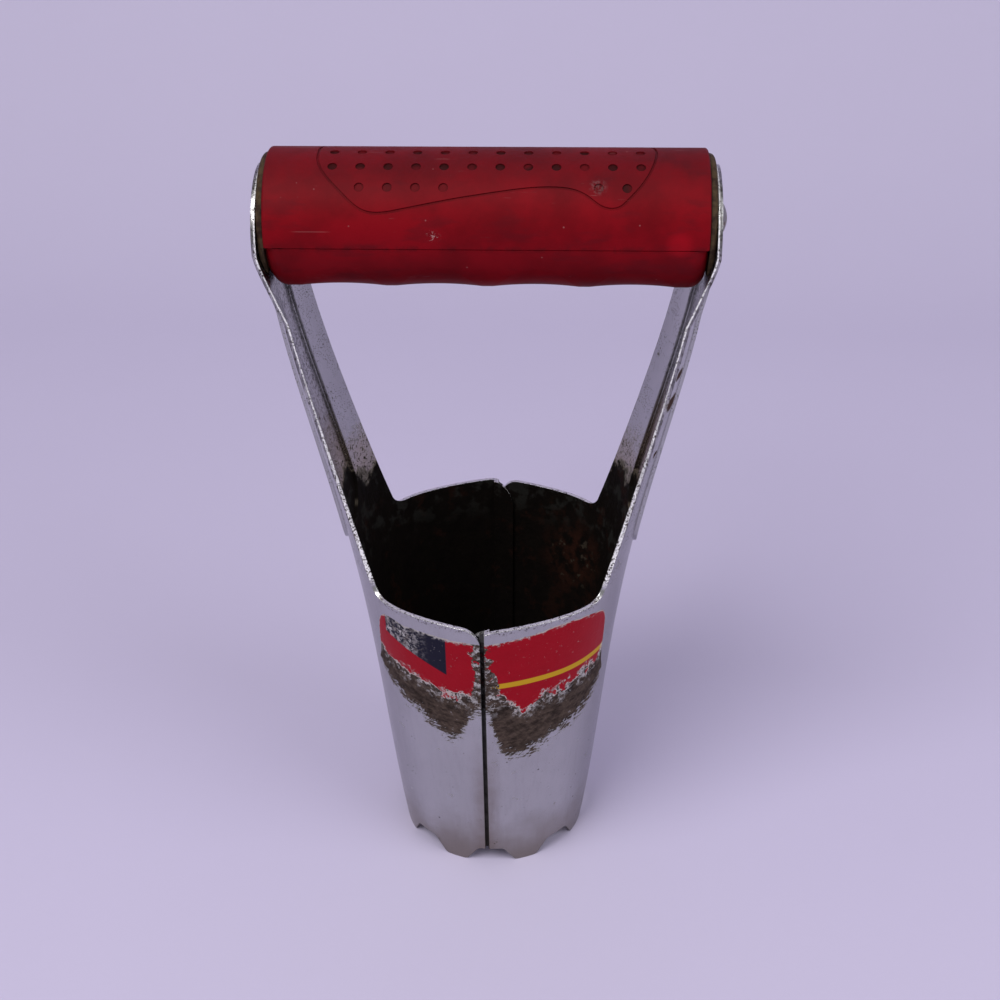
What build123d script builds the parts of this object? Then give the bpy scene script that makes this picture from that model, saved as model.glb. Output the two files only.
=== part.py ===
"""Garden hole cutter: two chromed half-tube blades that swing on the axle of a red grip.

Frame: +Z up, tooth tips on z = 0, X along the grip (the right blade is at +X), front at -Y.
Sizes are in millimetres. The right blade and its pieces swing about the axle, towards +Y.
"""

import os
from math import acos, asin, atan2, cos, degrees, hypot, pi, radians, sin, sqrt, tan

from build123d import *

# Blades: one pressing, used twice, the second turned half a turn about Z
sheet = 1.2                # thickness of the pressed steel
tip_diameter = 60.0        # across the tooth tips
rim_height = 103.0         # top edge of the tube
rim_half_x = 42.3          # rim, from the middle to the outer side of an arm's foot
rim_half_y = 46.4          # rim, from the middle to a seam
rim_side_radius = 48.0     # side of the rim, below the arm
rim_side_half_width = 26.0
rim_flank_angle = 30.0     # where the rim's corner runs out into the flank
rim_seam_angle = 14.0      # slope of the flank at the seam, which gives the rim its keel
tip_side_half_width = 18.0
seam_edge_x = 1.8          # the plain edge stops this far short of the middle
seam_gap = 1.2             # open line between a plain edge and the other blade's joggle
joggle_width = 1.6
lap_reach = 5.5            # how far the lap strip goes past the middle
lap_clearance = 0.35       # between the lap strip and the wall outside it
lap_corner_radius = 8.5    # starts on the joggled edge and drops to the end of the lap strip
rim_corner_radius = 5.5    # rounded top corner of the plain edge

teeth_per_blade = 4
tooth_depth = 6.0
valley_top_width = 8.2
valley_mouth_width = 16.0
tooth_rounding = 2.0

# Arms, each one piece with its blade
arm_foot_half_width = 27.0
arm_foot_fillet = 4.0
arm_side_radius = 50.0     # the arm's bowed section, just below its bend
arm_bend_radius = 25.0     # the arm straightens up beside the grip
arm_bend_drop = 5.0        # the bend ends this far below the axle
arm_flatten_height = 20.0  # the bowed section flattens over this height, up to the bend's end
eye_radius = 18.5
eye_drop = 4.0             # the eye's round end is centred this far below the axle
rib_height = 1.0           # raised panel pressed out of the arm, hollow inside
rib_foot_half_width = 13.5
rib_top_half_width = 8.5
rib_foot_above_rim = 20.0  # middle of the panel's round foot
rib_top_below_axle = 21.0  # middle of its round top

# Grip: an upper palm half and a lower finger half on one axle
axle_height = 212.3
axle_diameter = 6.0
grip_diameter = 38.2
grip_length = 120.4
grip_wall = 2.6
palm_end_rounding = 0.8
finger_end_rounding = 4.5  # keeps the swinging half clear of the other arm's bend
split_tilt = 7.0           # the split line is this many degrees below the axle at the front
front_split_gap = 0.3
squeeze_travel = 12.0      # degrees that the finger grip turns
rear_gap_spare = 2.0       # degrees left between the halves when squeezed
hub_thickness = 3.8
hub_gap = 0.3
hub_shell_clearance = 0.5  # between a hub and the other half's wall
running_clearance = 0.08   # on the axle's radius
seat_clearance = 0.05      # between pieces that don't turn on each other

lip_thickness = 1.0        # inner lips that keep soil out of the splits
lip_clearance = 0.4
lip_overlap = 4.0          # degrees that a lip stays under the other half when squeezed
lip_root = 10.0            # degrees of lip that are one with its own half

finger_count = 4
finger_pitch = 27.0
finger_width = 26.0
finger_depth = 0.8
finger_axis_rise = 1.5     # the waves are cut about a line above the axle and fade upwards

dimple_diameter = 2.6
dimple_depth = 0.5
dimple_pitch = 7.55        # along the grip
dimple_columns = 12
dimple_full_rows = 3       # between two rows that only fill the lobes of the engraved line
dimple_front_angle = 136.3  # the lobes' row at the front, from the rear over the top
dimple_row_angle = 20.2    # from row to row, around the grip
lobe_columns = (1, 2, 3, 4, 9.5, 10.5)
line_width = 0.7           # engraved line around the dimples
line_depth = 0.4
panel_view_angle = 45.0    # degrees above the front, the direction that the line is cut from
panel_wave = (             # along the grip, and degrees above the front
    (-45.6, 90), (-44.6, 61), (-39.0, 39.5), (-33.0, 24.5), (-23.0, 25), (-9.0, 33.5), (3.8, 40),
    (18.7, 44), (24.0, 41.5), (27.5, 36), (31.0, 28.5), (35.8, 28), (38.0, 33.5), (41.6, 46),
    (44.8, 65), (46.0, 90),
)

# End bushes, with the grip's drive lugs passing through them into the arms
bush_flange_inset = 1.4    # the flange stays this far inside the grip's outline
bush_flange_thickness = 1.8
bush_flange_rounding = 1.5
bush_edge = 0.3            # left of the flange's thickness where its bevel ends
bush_bow_clearance = 0.6   # room for the bow of the arm behind the bevel
bush_barrel_radius = 5.0
end_clearance = 0.15
lug_radius = 2.5
lug_offset = 9.0
lug_short = 0.2            # a lug stops this far inside the arm's outer face

# Rivet heads of the axle, with their washers
head_radius = 5.0
head_height = 1.8
washer_radius = 6.5
washer_thickness = 0.8

# Return spring
spring_wire = 1.6
spring_mean_radius = 6.0
spring_turns = 5
spring_gap = 0.55          # between neighbouring turns
spring_leg = 12.0
spring_start_angle = 163.0
spring_extra_angle = 44.0
spring_stop_clearance = 0.1
spring_stop_width = 5.0
spring_stop_length = 4.0   # of the leg that bears on its stop

# Places worked out from the sizes above
tip_radius = tip_diameter / 2
grip_radius = grip_diameter / 2
grip_inner_radius = grip_radius - grip_wall
grip_half = grip_length / 2
bush_flange_radius = grip_radius - bush_flange_inset
axle_radius = axle_diameter / 2
eye_inner_x = grip_half + bush_flange_thickness + 2 * end_clearance
eye_outer_x = eye_inner_x + sheet
washer_x = eye_outer_x + end_clearance
head_x = washer_x + washer_thickness
hub_radius = grip_inner_radius - hub_shell_clearance
inner_hub_outer_x = grip_half - hub_thickness - hub_gap
inner_hub_inner_x = inner_hub_outer_x - hub_thickness
lap_depth = sheet + lap_clearance
front_split = 180 + split_tilt
split_gap_angle = degrees(front_split_gap / grip_radius)
rear_edge = 360 + split_tilt - squeeze_travel - rear_gap_spare
eye_z = axle_height - eye_drop

# Construction values: none of them is a size of the finished object
loft_step = 10.0           # sections this far below and above the rim shape the tube there
bend_sections = 4
trim = 2.0                 # length below the tips that the teeth's cut takes off
spare = 1.0                # how far cuts stand past a face, and joined pieces run into each other
touch = 0.01
nearly_flat = 1e5
far = 200.0
gap_points = 48            # points per turn on which the spring's gap is measured
wire_sides = 8             # the hidden spring's wire has few faces

# The arm's outer line: straight from the rim, tangent to the bend beside the grip
bend_centre_x = eye_outer_x - arm_bend_radius
bend_end_z = axle_height - arm_bend_drop
foot_to_bend = hypot(rim_half_x - bend_centre_x, bend_end_z - rim_height)
foot_direction = atan2(rim_height - bend_end_z, rim_half_x - bend_centre_x)
tangent_direction = foot_direction + acos(arm_bend_radius / foot_to_bend)
bend_start_x = bend_centre_x + arm_bend_radius * cos(tangent_direction)
bend_start_z = bend_end_z + arm_bend_radius * sin(tangent_direction)
arm_slope = (bend_start_x - rim_half_x) / (bend_start_z - rim_height)
flatten_z = bend_end_z - arm_flatten_height


def side_reach(z):
    """How far the outer side of the blade stands from the middle, at height z."""
    if z <= rim_height:
        return tip_radius + (rim_half_x - tip_radius) * z / rim_height
    if z <= bend_start_z:
        return rim_half_x + arm_slope * (z - rim_height)
    if z <= bend_end_z:
        return bend_centre_x + sqrt(arm_bend_radius ** 2 - (bend_end_z - z) ** 2)
    return eye_outer_x


def between(low, high, share):
    return low + (high - low) * share


def section_arcs(z):
    """Radii and angles of the arcs in a quarter of the tube's outline at height z.

    Each quarter is three tangent arcs: the flat side, the corner, and the flank, which
    meets the other blade's flank at the seam in a slight keel.
    """
    share = min(z / rim_height, 1.0)
    side_bend = between(1 / tip_radius, 1 / rim_side_radius, share)
    if z > rim_height:
        rise = (z - rim_height) / (flatten_z - rim_height)
        side_bend = between(1 / rim_side_radius, 1 / arm_side_radius, min(rise, 1.0))
    if z > flatten_z:
        side_bend *= (bend_end_z - z) / arm_flatten_height
    side_radius = 1 / max(side_bend, 1 / nearly_flat)
    half_width = between(tip_side_half_width, rim_side_half_width, share)
    angle_1 = radians(90) - asin(half_width / side_radius)
    angle_2 = radians(rim_flank_angle)
    angle_3 = radians(rim_seam_angle * share)

    # Two equations in the corner's and the flank's radius: the arcs must end at the seam.
    # Above the rim the corner stays as it is there, and the first equation gives the flank.
    a = sin(angle_1) - sin(angle_2)
    b = sin(angle_2) - sin(angle_3)
    c = cos(angle_2) - cos(angle_1)
    d = cos(angle_3) - cos(angle_2)
    e = side_reach(z) - side_radius * (1 - sin(angle_1))
    f = between(tip_radius, rim_half_y, share) - side_radius * cos(angle_1)
    if z > rim_height:
        corner_radius = section_arcs(rim_height)[0][1]
        flank_radius = (e - a * corner_radius) / b
    else:
        corner_radius = (e * d - b * f) / (a * d - b * c)
        flank_radius = (a * f - e * c) / (a * d - b * c)
    return (side_radius, corner_radius, flank_radius), (radians(90), angle_1, angle_2)


def blade_section(z, inset):
    """The tube's outline at height z, with its wall moved in by inset."""
    # The same centres with smaller radii give the inset wall, which still ends at the seam
    outer_radii, angles = section_arcs(z)
    radii = [radius - inset for radius in outer_radii]
    x, y = -(side_reach(z) - inset), 0.0
    x_left = -x - sum(
        radius * (sin(start) - sin(end)) for radius, start, end in zip(radii, angles, angles[1:]))
    angles = [*angles, asin(sin(angles[-1]) - x_left / radii[-1])]
    quarter = [(x, y)]
    for radius, start, end in zip(radii, angles, angles[1:]):
        for stop in ((start + end) / 2, end):
            quarter.append((
                x + radius * (sin(start) - sin(stop)),
                y - radius * (cos(stop) - cos(start)),
            ))
        x, y = quarter[-1]

    def corner(index, sign_x, sign_y):
        return (-sign_x * quarter[index][0], sign_y * quarter[index][1], z)

    def flank_and_corner(sign_x, sign_y):
        flank = [corner(i, sign_x, sign_y) for i in (6, 5, 4)]
        bend = [corner(i, sign_x, sign_y) for i in (4, 3, 2)]
        return [ThreePointArc(*flank), ThreePointArc(*bend)]

    def side(sign_x):
        if z >= bend_end_z:
            return Line(corner(2, sign_x, 1), corner(2, sign_x, -1))
        points = [corner(2, sign_x, 1), corner(0, sign_x, 1), corner(2, sign_x, -1)]
        return ThreePointArc(*points)

    edges = flank_and_corner(-1, 1) + [side(-1)] + flank_and_corner(-1, -1)
    edges += flank_and_corner(1, -1) + [side(1)] + flank_and_corner(1, 1)
    return make_face(edges)


def tube(inset, top):
    """The whole tube and its arms' flare as a solid, up to top."""
    levels = [-trim, rim_height / 2, rim_height - loft_step, rim_height + loft_step]
    levels += [(rim_height + flatten_z) / 2, flatten_z]
    used = [z for z in levels if z < top] + [top]
    return loft([blade_section(z, inset) for z in used])


def blade_space(inset):
    """All that lies inside the two blades' outer faces, up to above the eyes, moved in by inset."""
    levels = [between(flatten_z, bend_end_z, i / bend_sections) for i in range(bend_sections + 1)]
    bends = loft([blade_section(z, inset) for z in levels])
    bends &= block(-far, far, -2 * eye_radius, 2 * eye_radius, flatten_z, bend_end_z)
    reach = eye_outer_x - inset
    half_width = eye_radius + spare
    eyes = block(-reach, reach, -half_width, half_width, bend_end_z, eye_z + half_width)
    return tube(inset, flatten_z) + bends + eyes


def block(x0, x1, y0, y1, z0, z1):
    centre = Pos((x0 + x1) / 2, (y0 + y1) / 2, (z0 + z1) / 2)
    return centre * Box(x1 - x0, y1 - y0, z1 - z0)


def x_rod(radius, x0, x1, y=0.0, z=axle_height):
    return Pos((x0 + x1) / 2, y, z) * Rot(0, 90, 0) * Cylinder(radius, x1 - x0)


axle_line = Axis((0, 0, axle_height), (1, 0, 0))


def arm_outline():
    """Side view of a blade: the tube below the rim, the tapering arm and its eye above."""
    side = TangentArc((eye_radius, eye_z), (arm_foot_half_width, rim_height), tangent=(0, -1))
    top = ThreePointArc((-eye_radius, eye_z), (0, eye_z + eye_radius), (eye_radius, eye_z))
    foot = Line((-arm_foot_half_width, rim_height), (arm_foot_half_width, rim_height))
    arm = make_face([side, top, mirror(side, Plane.YZ), foot])
    skirt = Pos(0, rim_height - far / 2) * Rectangle(far, far)
    outline = arm + skirt
    feet = [v for v in outline.vertices()
            if abs(v.Y - rim_height) < touch and abs(v.X) < rim_half_y]
    return fillet(feet, arm_foot_fillet)


def valley(turn):
    """The space between two teeth, cut square to the wall, with all that is below the tips."""
    half_pitch = (tip_radius + sheet) * tan(pi / (2 * teeth_per_blade))
    mouth = valley_mouth_width / 2
    top = valley_top_width / 2
    outline = make_face(Polyline(
        (-half_pitch, -2 * trim), (half_pitch, -2 * trim), (half_pitch, 0),
        (mouth, 0), (top, tooth_depth), (-top, tooth_depth), (-mouth, 0), (-half_pitch, 0),
        close=True,
    ))
    bends = [v for v in outline.vertices() if abs(v.X) < half_pitch - touch and v.Y > -touch]
    outline = fillet(bends, tooth_rounding)
    return Rot(0, 0, turn) * extrude(Plane.YZ * outline, amount=2 * tip_radius)


def rounded_off(x, y0, y1, radius):
    """What is cut away to round the rim's corner where it ends, at x."""
    square = block(x - radius, x + spare, y0, y1, rim_height - radius, rim_height + spare)
    middle = Pos(x - radius, (y0 + y1) / 2, rim_height - radius)
    return square - middle * Rot(90, 0, 0) * Cylinder(radius, y1 - y0)


def rib_outline(inset):
    """Side view of an arm's rib, moved in by inset: two round ends and their tangents."""
    foot_radius, foot_z = rib_foot_half_width - inset, rim_height + rib_foot_above_rim
    top_radius, top_z = rib_top_half_width - inset, axle_height - rib_top_below_axle
    lean = asin((foot_radius - top_radius) / (top_z - foot_z))
    foot = (foot_radius * cos(lean), foot_z + foot_radius * sin(lean))
    top = (top_radius * cos(lean), top_z + top_radius * sin(lean))
    side = Line(foot, top)
    upper = ThreePointArc(top, (0, top_z + top_radius), (-top[0], top[1]))
    lower = ThreePointArc(foot, (0, foot_z - foot_radius), (-foot[0], foot[1]))
    return make_face([side, upper, mirror(side, Plane.YZ), lower])


def make_left_blade():
    outer = blade_space(0)
    inner = blade_space(sheet)
    joggle_end = seam_edge_x - seam_gap
    joggle_start = joggle_end - joggle_width
    keep = block(-far, -seam_edge_x, -far, 0, -far, 2 * far)
    keep += block(-far, joggle_end, 0, far, -far, 2 * far)
    outline = extrude(Plane.YZ * arm_outline(), amount=far, both=True)
    blade = (outer - inner) & keep & outline
    rib = extrude(Plane.YZ * rib_outline(0), amount=-far)
    hollow = extrude(Plane.YZ * rib_outline(sheet), amount=-far)
    blade += (blade_space(-rib_height) - inner) & rib
    blade -= blade_space(sheet - rib_height) & hollow

    lap_outer = tube(lap_depth, rim_height)
    lap_inner = tube(lap_depth + sheet, rim_height + spare)
    joggle = (outer - lap_inner) & block(joggle_start, joggle_end, 0, far, -far, rim_height)
    strip = (lap_outer - lap_inner) & block(joggle_start, lap_reach, 0, far, -far, rim_height)
    blade += joggle
    blade += strip
    blade -= rounded_off(lap_reach, 0, far, lap_corner_radius)
    blade -= rounded_off(-seam_edge_x, -far, 0, rim_corner_radius)

    pitch = 180 / teeth_per_blade
    for i in range(teeth_per_blade + 1):
        blade -= valley(90 + i * pitch)
    blade -= x_rod(axle_radius + running_clearance, -far, 0)
    for y in (-lug_offset, lug_offset):
        blade -= x_rod(lug_radius + seat_clearance, -far, 0, y)
    return blade


def angle_plane(angle):
    """A plane through the axle, at an angle from the rear (0) over the top (90)."""
    turn = radians(angle)
    return Plane((0, 0, axle_height), x_dir=(1, 0, 0), z_dir=(0, -sin(turn), cos(turn)))


def sector(start, end, x0, x1, r0, r1):
    profile = Pos((x0 + x1) / 2, (r0 + r1) / 2) * Rectangle(x1 - x0, r1 - r0)
    return revolve(angle_plane(start) * profile, axle_line, end - start)


def grip_rod(rounding):
    """The whole grip's outline, with rounded ends."""
    rod = x_rod(grip_radius, -grip_half, grip_half)
    return fillet(rod.edges().filter_by(GeomType.CIRCLE), rounding)


def hub(x0, x1, start, end, bore):
    """A round end wall, joined to its own half's shell and clear of the other half's."""
    web = sector(start, end, x0, x1, hub_radius - spare, grip_inner_radius + grip_wall / 2)
    return x_rod(hub_radius, x0, x1) + web - x_rod(bore, x0 - spare, x1 + spare)


def lip(own_start, own_end, free_end):
    """A thin inner lip that is one with its own half and slides under the other."""
    half = inner_hub_inner_x - hub_gap
    outer = grip_inner_radius - lip_clearance
    inner = outer - lip_thickness
    root = sector(own_start, own_end, -half, half, inner, grip_inner_radius + grip_wall / 2)
    return root + sector(own_start, free_end, -half, half, inner, outer)


def spring_stop(x, turn, side):
    """A block inside a grip half that one leg of the return spring bears on."""
    under = spring_mean_radius + spring_wire / 2 + spring_stop_clearance
    half = spring_stop_width / 2
    y0, y1 = sorted((side * spring_leg, side * (spring_leg - spring_stop_length)))
    bar = block(x - half, x + half, y0, y1, under, grip_radius)
    bar = Pos(0, 0, axle_height) * Rot(turn, 0, 0) * bar
    return bar & x_rod(grip_inner_radius + grip_wall / 2, x - half, x + half)


def on_grip(angle, radius, x):
    turn = radians(angle)
    return (x, radius * cos(turn), axle_height + radius * sin(turn))


def dimples():
    """Flat-bottomed round pits: full rows along the top, and a part row in the lobes at each side."""
    first_x = -(dimple_columns - 1) / 2 * dimple_pitch
    pit = Cylinder(dimple_diameter / 2, dimple_depth + spare,
                   align=(Align.CENTER, Align.CENTER, Align.MIN))
    pits = []
    rows = [lobe_columns, *[range(dimple_columns)] * dimple_full_rows, lobe_columns]
    for row, columns in enumerate(rows):
        angle = dimple_front_angle - row * dimple_row_angle
        out = (0, cos(radians(angle)), sin(radians(angle)))
        for column in columns:
            floor = on_grip(angle, grip_radius - dimple_depth, first_x + column * dimple_pitch)
            pits.append(Plane(floor, x_dir=(1, 0, 0), z_dir=out) * pit)
    return pits


def panel_line():
    """The engraved line around the dimples: a wave at the front, mirrored to the rear."""
    points = []
    for x, angle in panel_wave:
        points.append((x, grip_radius * sin(radians(angle - panel_view_angle))))
    turn = radians(panel_view_angle)
    view = Plane((0, 0, axle_height), x_dir=(1, 0, 0), z_dir=(0, -cos(turn), sin(turn)))
    band = extrude(view * trace(Spline(*points), line_width), amount=2 * grip_radius)
    skin = x_rod(grip_radius + spare, -grip_half, grip_half)
    skin -= x_rod(grip_radius - line_depth, -grip_half, grip_half)
    middle = angle_plane(dimple_front_angle - (dimple_full_rows + 1) / 2 * dimple_row_angle)
    front = split(band & skin, bisect_by=middle)
    return [front, mirror(front, middle)]


def make_palm_grip():
    start, end = split_tilt, front_split
    inner, outer = grip_inner_radius, grip_radius + spare
    bush_bore, axle_bore = bush_barrel_radius + seat_clearance, axle_radius + running_clearance
    grip = sector(start, end, -grip_half, grip_half, inner, outer)
    grip += hub(-grip_half, -grip_half + hub_thickness, start, end, bush_bore)
    grip += hub(inner_hub_inner_x, inner_hub_outer_x, start, end, axle_bore)
    grip &= grip_rod(palm_end_rounding)
    grip += lip(end - lip_root, end, end + squeeze_travel + lip_overlap)
    grip += spring_stop(-spring_half, spring_start_angle - 90, 1)
    for y in (-lug_offset, lug_offset):
        grip += x_rod(lug_radius, -eye_outer_x + lug_short, -grip_half + spare, y)
    return grip - dimples() - panel_line()


def make_finger_grip():
    start, end = front_split + split_gap_angle, rear_edge
    inner, outer = grip_inner_radius, grip_radius + spare
    bush_bore, axle_bore = bush_barrel_radius + seat_clearance, axle_radius + running_clearance
    grip = sector(start, end, -grip_half, grip_half, inner, outer)
    grip += hub(grip_half - hub_thickness, grip_half, start, end, bush_bore)
    grip += hub(-inner_hub_outer_x, -inner_hub_inner_x, start, end, axle_bore)
    grip &= grip_rod(finger_end_rounding)
    wave = ((finger_width / 2) ** 2 + finger_depth ** 2) / (2 * finger_depth)
    waist = grip_radius + finger_axis_rise - finger_depth
    for i in range(finger_count):
        x = (i - (finger_count - 1) / 2) * finger_pitch
        ring = Rot(0, 90, 0) * Torus(waist + wave, wave)
        grip -= Pos(x, 0, axle_height + finger_axis_rise) * ring
    grip += lip(end - lip_root, end, end + squeeze_travel + rear_gap_spare + lip_overlap)
    grip += spring_stop(spring_half, spring_end_angle - 90, -1)
    for y in (-lug_offset, lug_offset):
        grip += x_rod(lug_radius, grip_half - spare, eye_outer_x - lug_short, y)
    return grip


def make_right_bush():
    inner_x = grip_half + end_clearance
    flange = x_rod(bush_flange_radius, inner_x, inner_x + bush_flange_thickness)
    rim = flange.edges().filter_by(GeomType.CIRCLE).sort_by(Axis.X)[-1]
    flange = fillet(rim, bush_flange_rounding)
    outer_x, edge_x = inner_x + bush_flange_thickness, inner_x + bush_edge
    reach = edge_x + bush_bow_clearance + end_clearance + sheet
    edge_z = bend_start_z + (reach - bend_start_x) / arm_slope
    bevel = make_face(Polyline(
        (0, edge_z), (edge_x, edge_z), (outer_x, bend_end_z),
        (outer_x, 2 * far), (0, 2 * far), close=True,
    ))
    bush = flange & extrude(Plane.XZ * bevel, amount=grip_radius, both=True)
    bush += x_rod(bush_barrel_radius, grip_half - hub_thickness, inner_x)
    bush -= x_rod(axle_radius + running_clearance, 0, far)
    for y in (-lug_offset, lug_offset):
        bush -= x_rod(lug_radius + seat_clearance, 0, far, y)
    return bush


def make_axle():
    tip_x = head_x + head_height
    ball = (head_radius ** 2 + head_height ** 2) / (2 * head_height)
    half_turn = asin(head_radius / ball) / 2
    bulge = (tip_x - ball + ball * cos(half_turn), ball * sin(half_turn))
    half = [
        Line((0, axle_radius), (head_x, axle_radius)),
        Line((head_x, axle_radius), (head_x, head_radius)),
        ThreePointArc((head_x, head_radius), bulge, (tip_x, 0)),
    ]
    other_half = [mirror(edge, Plane.YZ) for edge in half]
    outline = make_face([*half, *other_half, Line((-tip_x, 0), (tip_x, 0))])
    return revolve(angle_plane(90) * outline, axle_line)


def make_right_washer():
    ring = x_rod(washer_radius, washer_x, head_x)
    return ring - x_rod(axle_radius + running_clearance, 0, far)


spring_pitch = spring_wire + spring_gap
spring_sweep = 360 * spring_turns + spring_extra_angle
spring_half = spring_pitch * spring_sweep / 360 / 2
spring_end_angle = spring_start_angle + spring_sweep


def spring_point(angle):
    x = -spring_half + spring_pitch * (angle - spring_start_angle) / 360
    return Vector(*on_grip(angle, spring_mean_radius, x))


def spring_heading(angle):
    turn = radians(angle)
    rise = spring_pitch / (2 * pi)
    heading = Vector(rise, -spring_mean_radius * sin(turn), spring_mean_radius * cos(turn))
    return heading.normalized()


def biarc(start, heading, end, end_heading):
    """Two tangent arcs from one point and heading to another."""
    chord = end - start
    both = heading + end_heading
    a = 2 * (heading.dot(end_heading) - 1)
    b = -2 * chord.dot(both)
    c = chord.dot(chord)
    reach = (-b - sqrt(b * b - 4 * a * c)) / (2 * a)
    first = start + heading * reach
    second = end - end_heading * reach
    middle = (first + second) / 2
    return [
        TangentArc(start, middle, tangent=heading),
        TangentArc(middle, end, tangent=(second - first).normalized()),
    ]


def spring_legs():
    """Where the two straight legs end."""
    first = spring_point(spring_start_angle) - spring_heading(spring_start_angle) * spring_leg
    last = spring_point(spring_end_angle) + spring_heading(spring_end_angle) * spring_leg
    return first, last


def spring_least_gap():
    """The least open space between two turns or legs, measured on points along the wire."""
    count = round(gap_points * spring_sweep / 360)
    points = [spring_point(between(spring_start_angle, spring_end_angle, i / count))
              for i in range(count + 1)]
    first, last = spring_legs()
    start_leg = [first + (points[0] - first) * (i / gap_points) for i in range(gap_points)]
    end_leg = [last + (points[-1] - last) * (i / gap_points) for i in range(gap_points)]
    wire = start_leg + points + end_leg[::-1]
    least = min((a - b).length for i, a in enumerate(wire) for b in wire[i + gap_points // 2:])
    return least - spring_wire


def make_spring():
    parts = round(spring_sweep / 180)
    angles = [spring_start_angle + spring_sweep * i / parts for i in range(parts + 1)]
    edges = []
    for a, b in zip(angles, angles[1:]):
        edges += biarc(spring_point(a), spring_heading(a), spring_point(b), spring_heading(b))
    first, last = spring_legs()
    start, end = spring_point(angles[0]), spring_point(angles[-1])
    path = Wire([Line(first, start), *edges, Line(end, last)])
    section = Plane(first, z_dir=spring_heading(angles[0])) * RegularPolygon(spring_wire / 2, wire_sides)
    return sweep(section, path)


turned = Rot(0, 0, 180)
left_blade = make_left_blade()
right_bush = make_right_bush()
right_washer = make_right_washer()
pieces = {
    "left_blade": left_blade,
    "right_blade": turned * left_blade,
    "palm_grip": make_palm_grip(),
    "finger_grip": make_finger_grip(),
    "left_end_bush": turned * right_bush,
    "right_end_bush": right_bush,
    "axle": make_axle(),
    "left_washer": turned * right_washer,
    "right_washer": right_washer,
    "return_spring": make_spring(),
}
os.makedirs("parts", exist_ok=True)
for name, piece in pieces.items():
    export_step(piece, f"parts/{name}.step")
    print(name, round(piece.volume, 1), piece.is_valid, len(piece.solids()))
print("least gap between the spring's turns", round(spring_least_gap(), 2))
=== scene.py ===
"""Looks of a worn garden hole cutter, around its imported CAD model. Metres, in the CAD frame."""

from functools import reduce
from math import cos, pi, radians, sin

import bpy
from mathutils import Matrix, Vector, noise


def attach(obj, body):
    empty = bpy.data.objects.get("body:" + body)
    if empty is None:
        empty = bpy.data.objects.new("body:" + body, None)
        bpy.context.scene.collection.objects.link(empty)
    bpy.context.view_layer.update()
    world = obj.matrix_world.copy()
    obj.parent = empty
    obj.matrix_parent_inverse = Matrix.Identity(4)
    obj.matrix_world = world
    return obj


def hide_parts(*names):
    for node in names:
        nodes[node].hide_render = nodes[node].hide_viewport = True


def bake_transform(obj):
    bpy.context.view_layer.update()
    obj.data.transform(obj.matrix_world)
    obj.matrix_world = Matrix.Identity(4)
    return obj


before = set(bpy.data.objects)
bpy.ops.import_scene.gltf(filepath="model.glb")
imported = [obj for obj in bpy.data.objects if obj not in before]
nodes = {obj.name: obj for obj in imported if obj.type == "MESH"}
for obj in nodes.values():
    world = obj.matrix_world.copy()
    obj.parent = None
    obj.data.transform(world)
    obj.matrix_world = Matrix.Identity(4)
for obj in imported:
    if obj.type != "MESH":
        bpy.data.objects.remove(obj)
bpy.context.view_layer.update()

# Blades: two pressings of one steel sheet, each a half tube with its arm, chromed and worn. The
# plating is pitted, the inside is caked with soil and rust, and rags of labels hang on the front.
MM = 0.001


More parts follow.
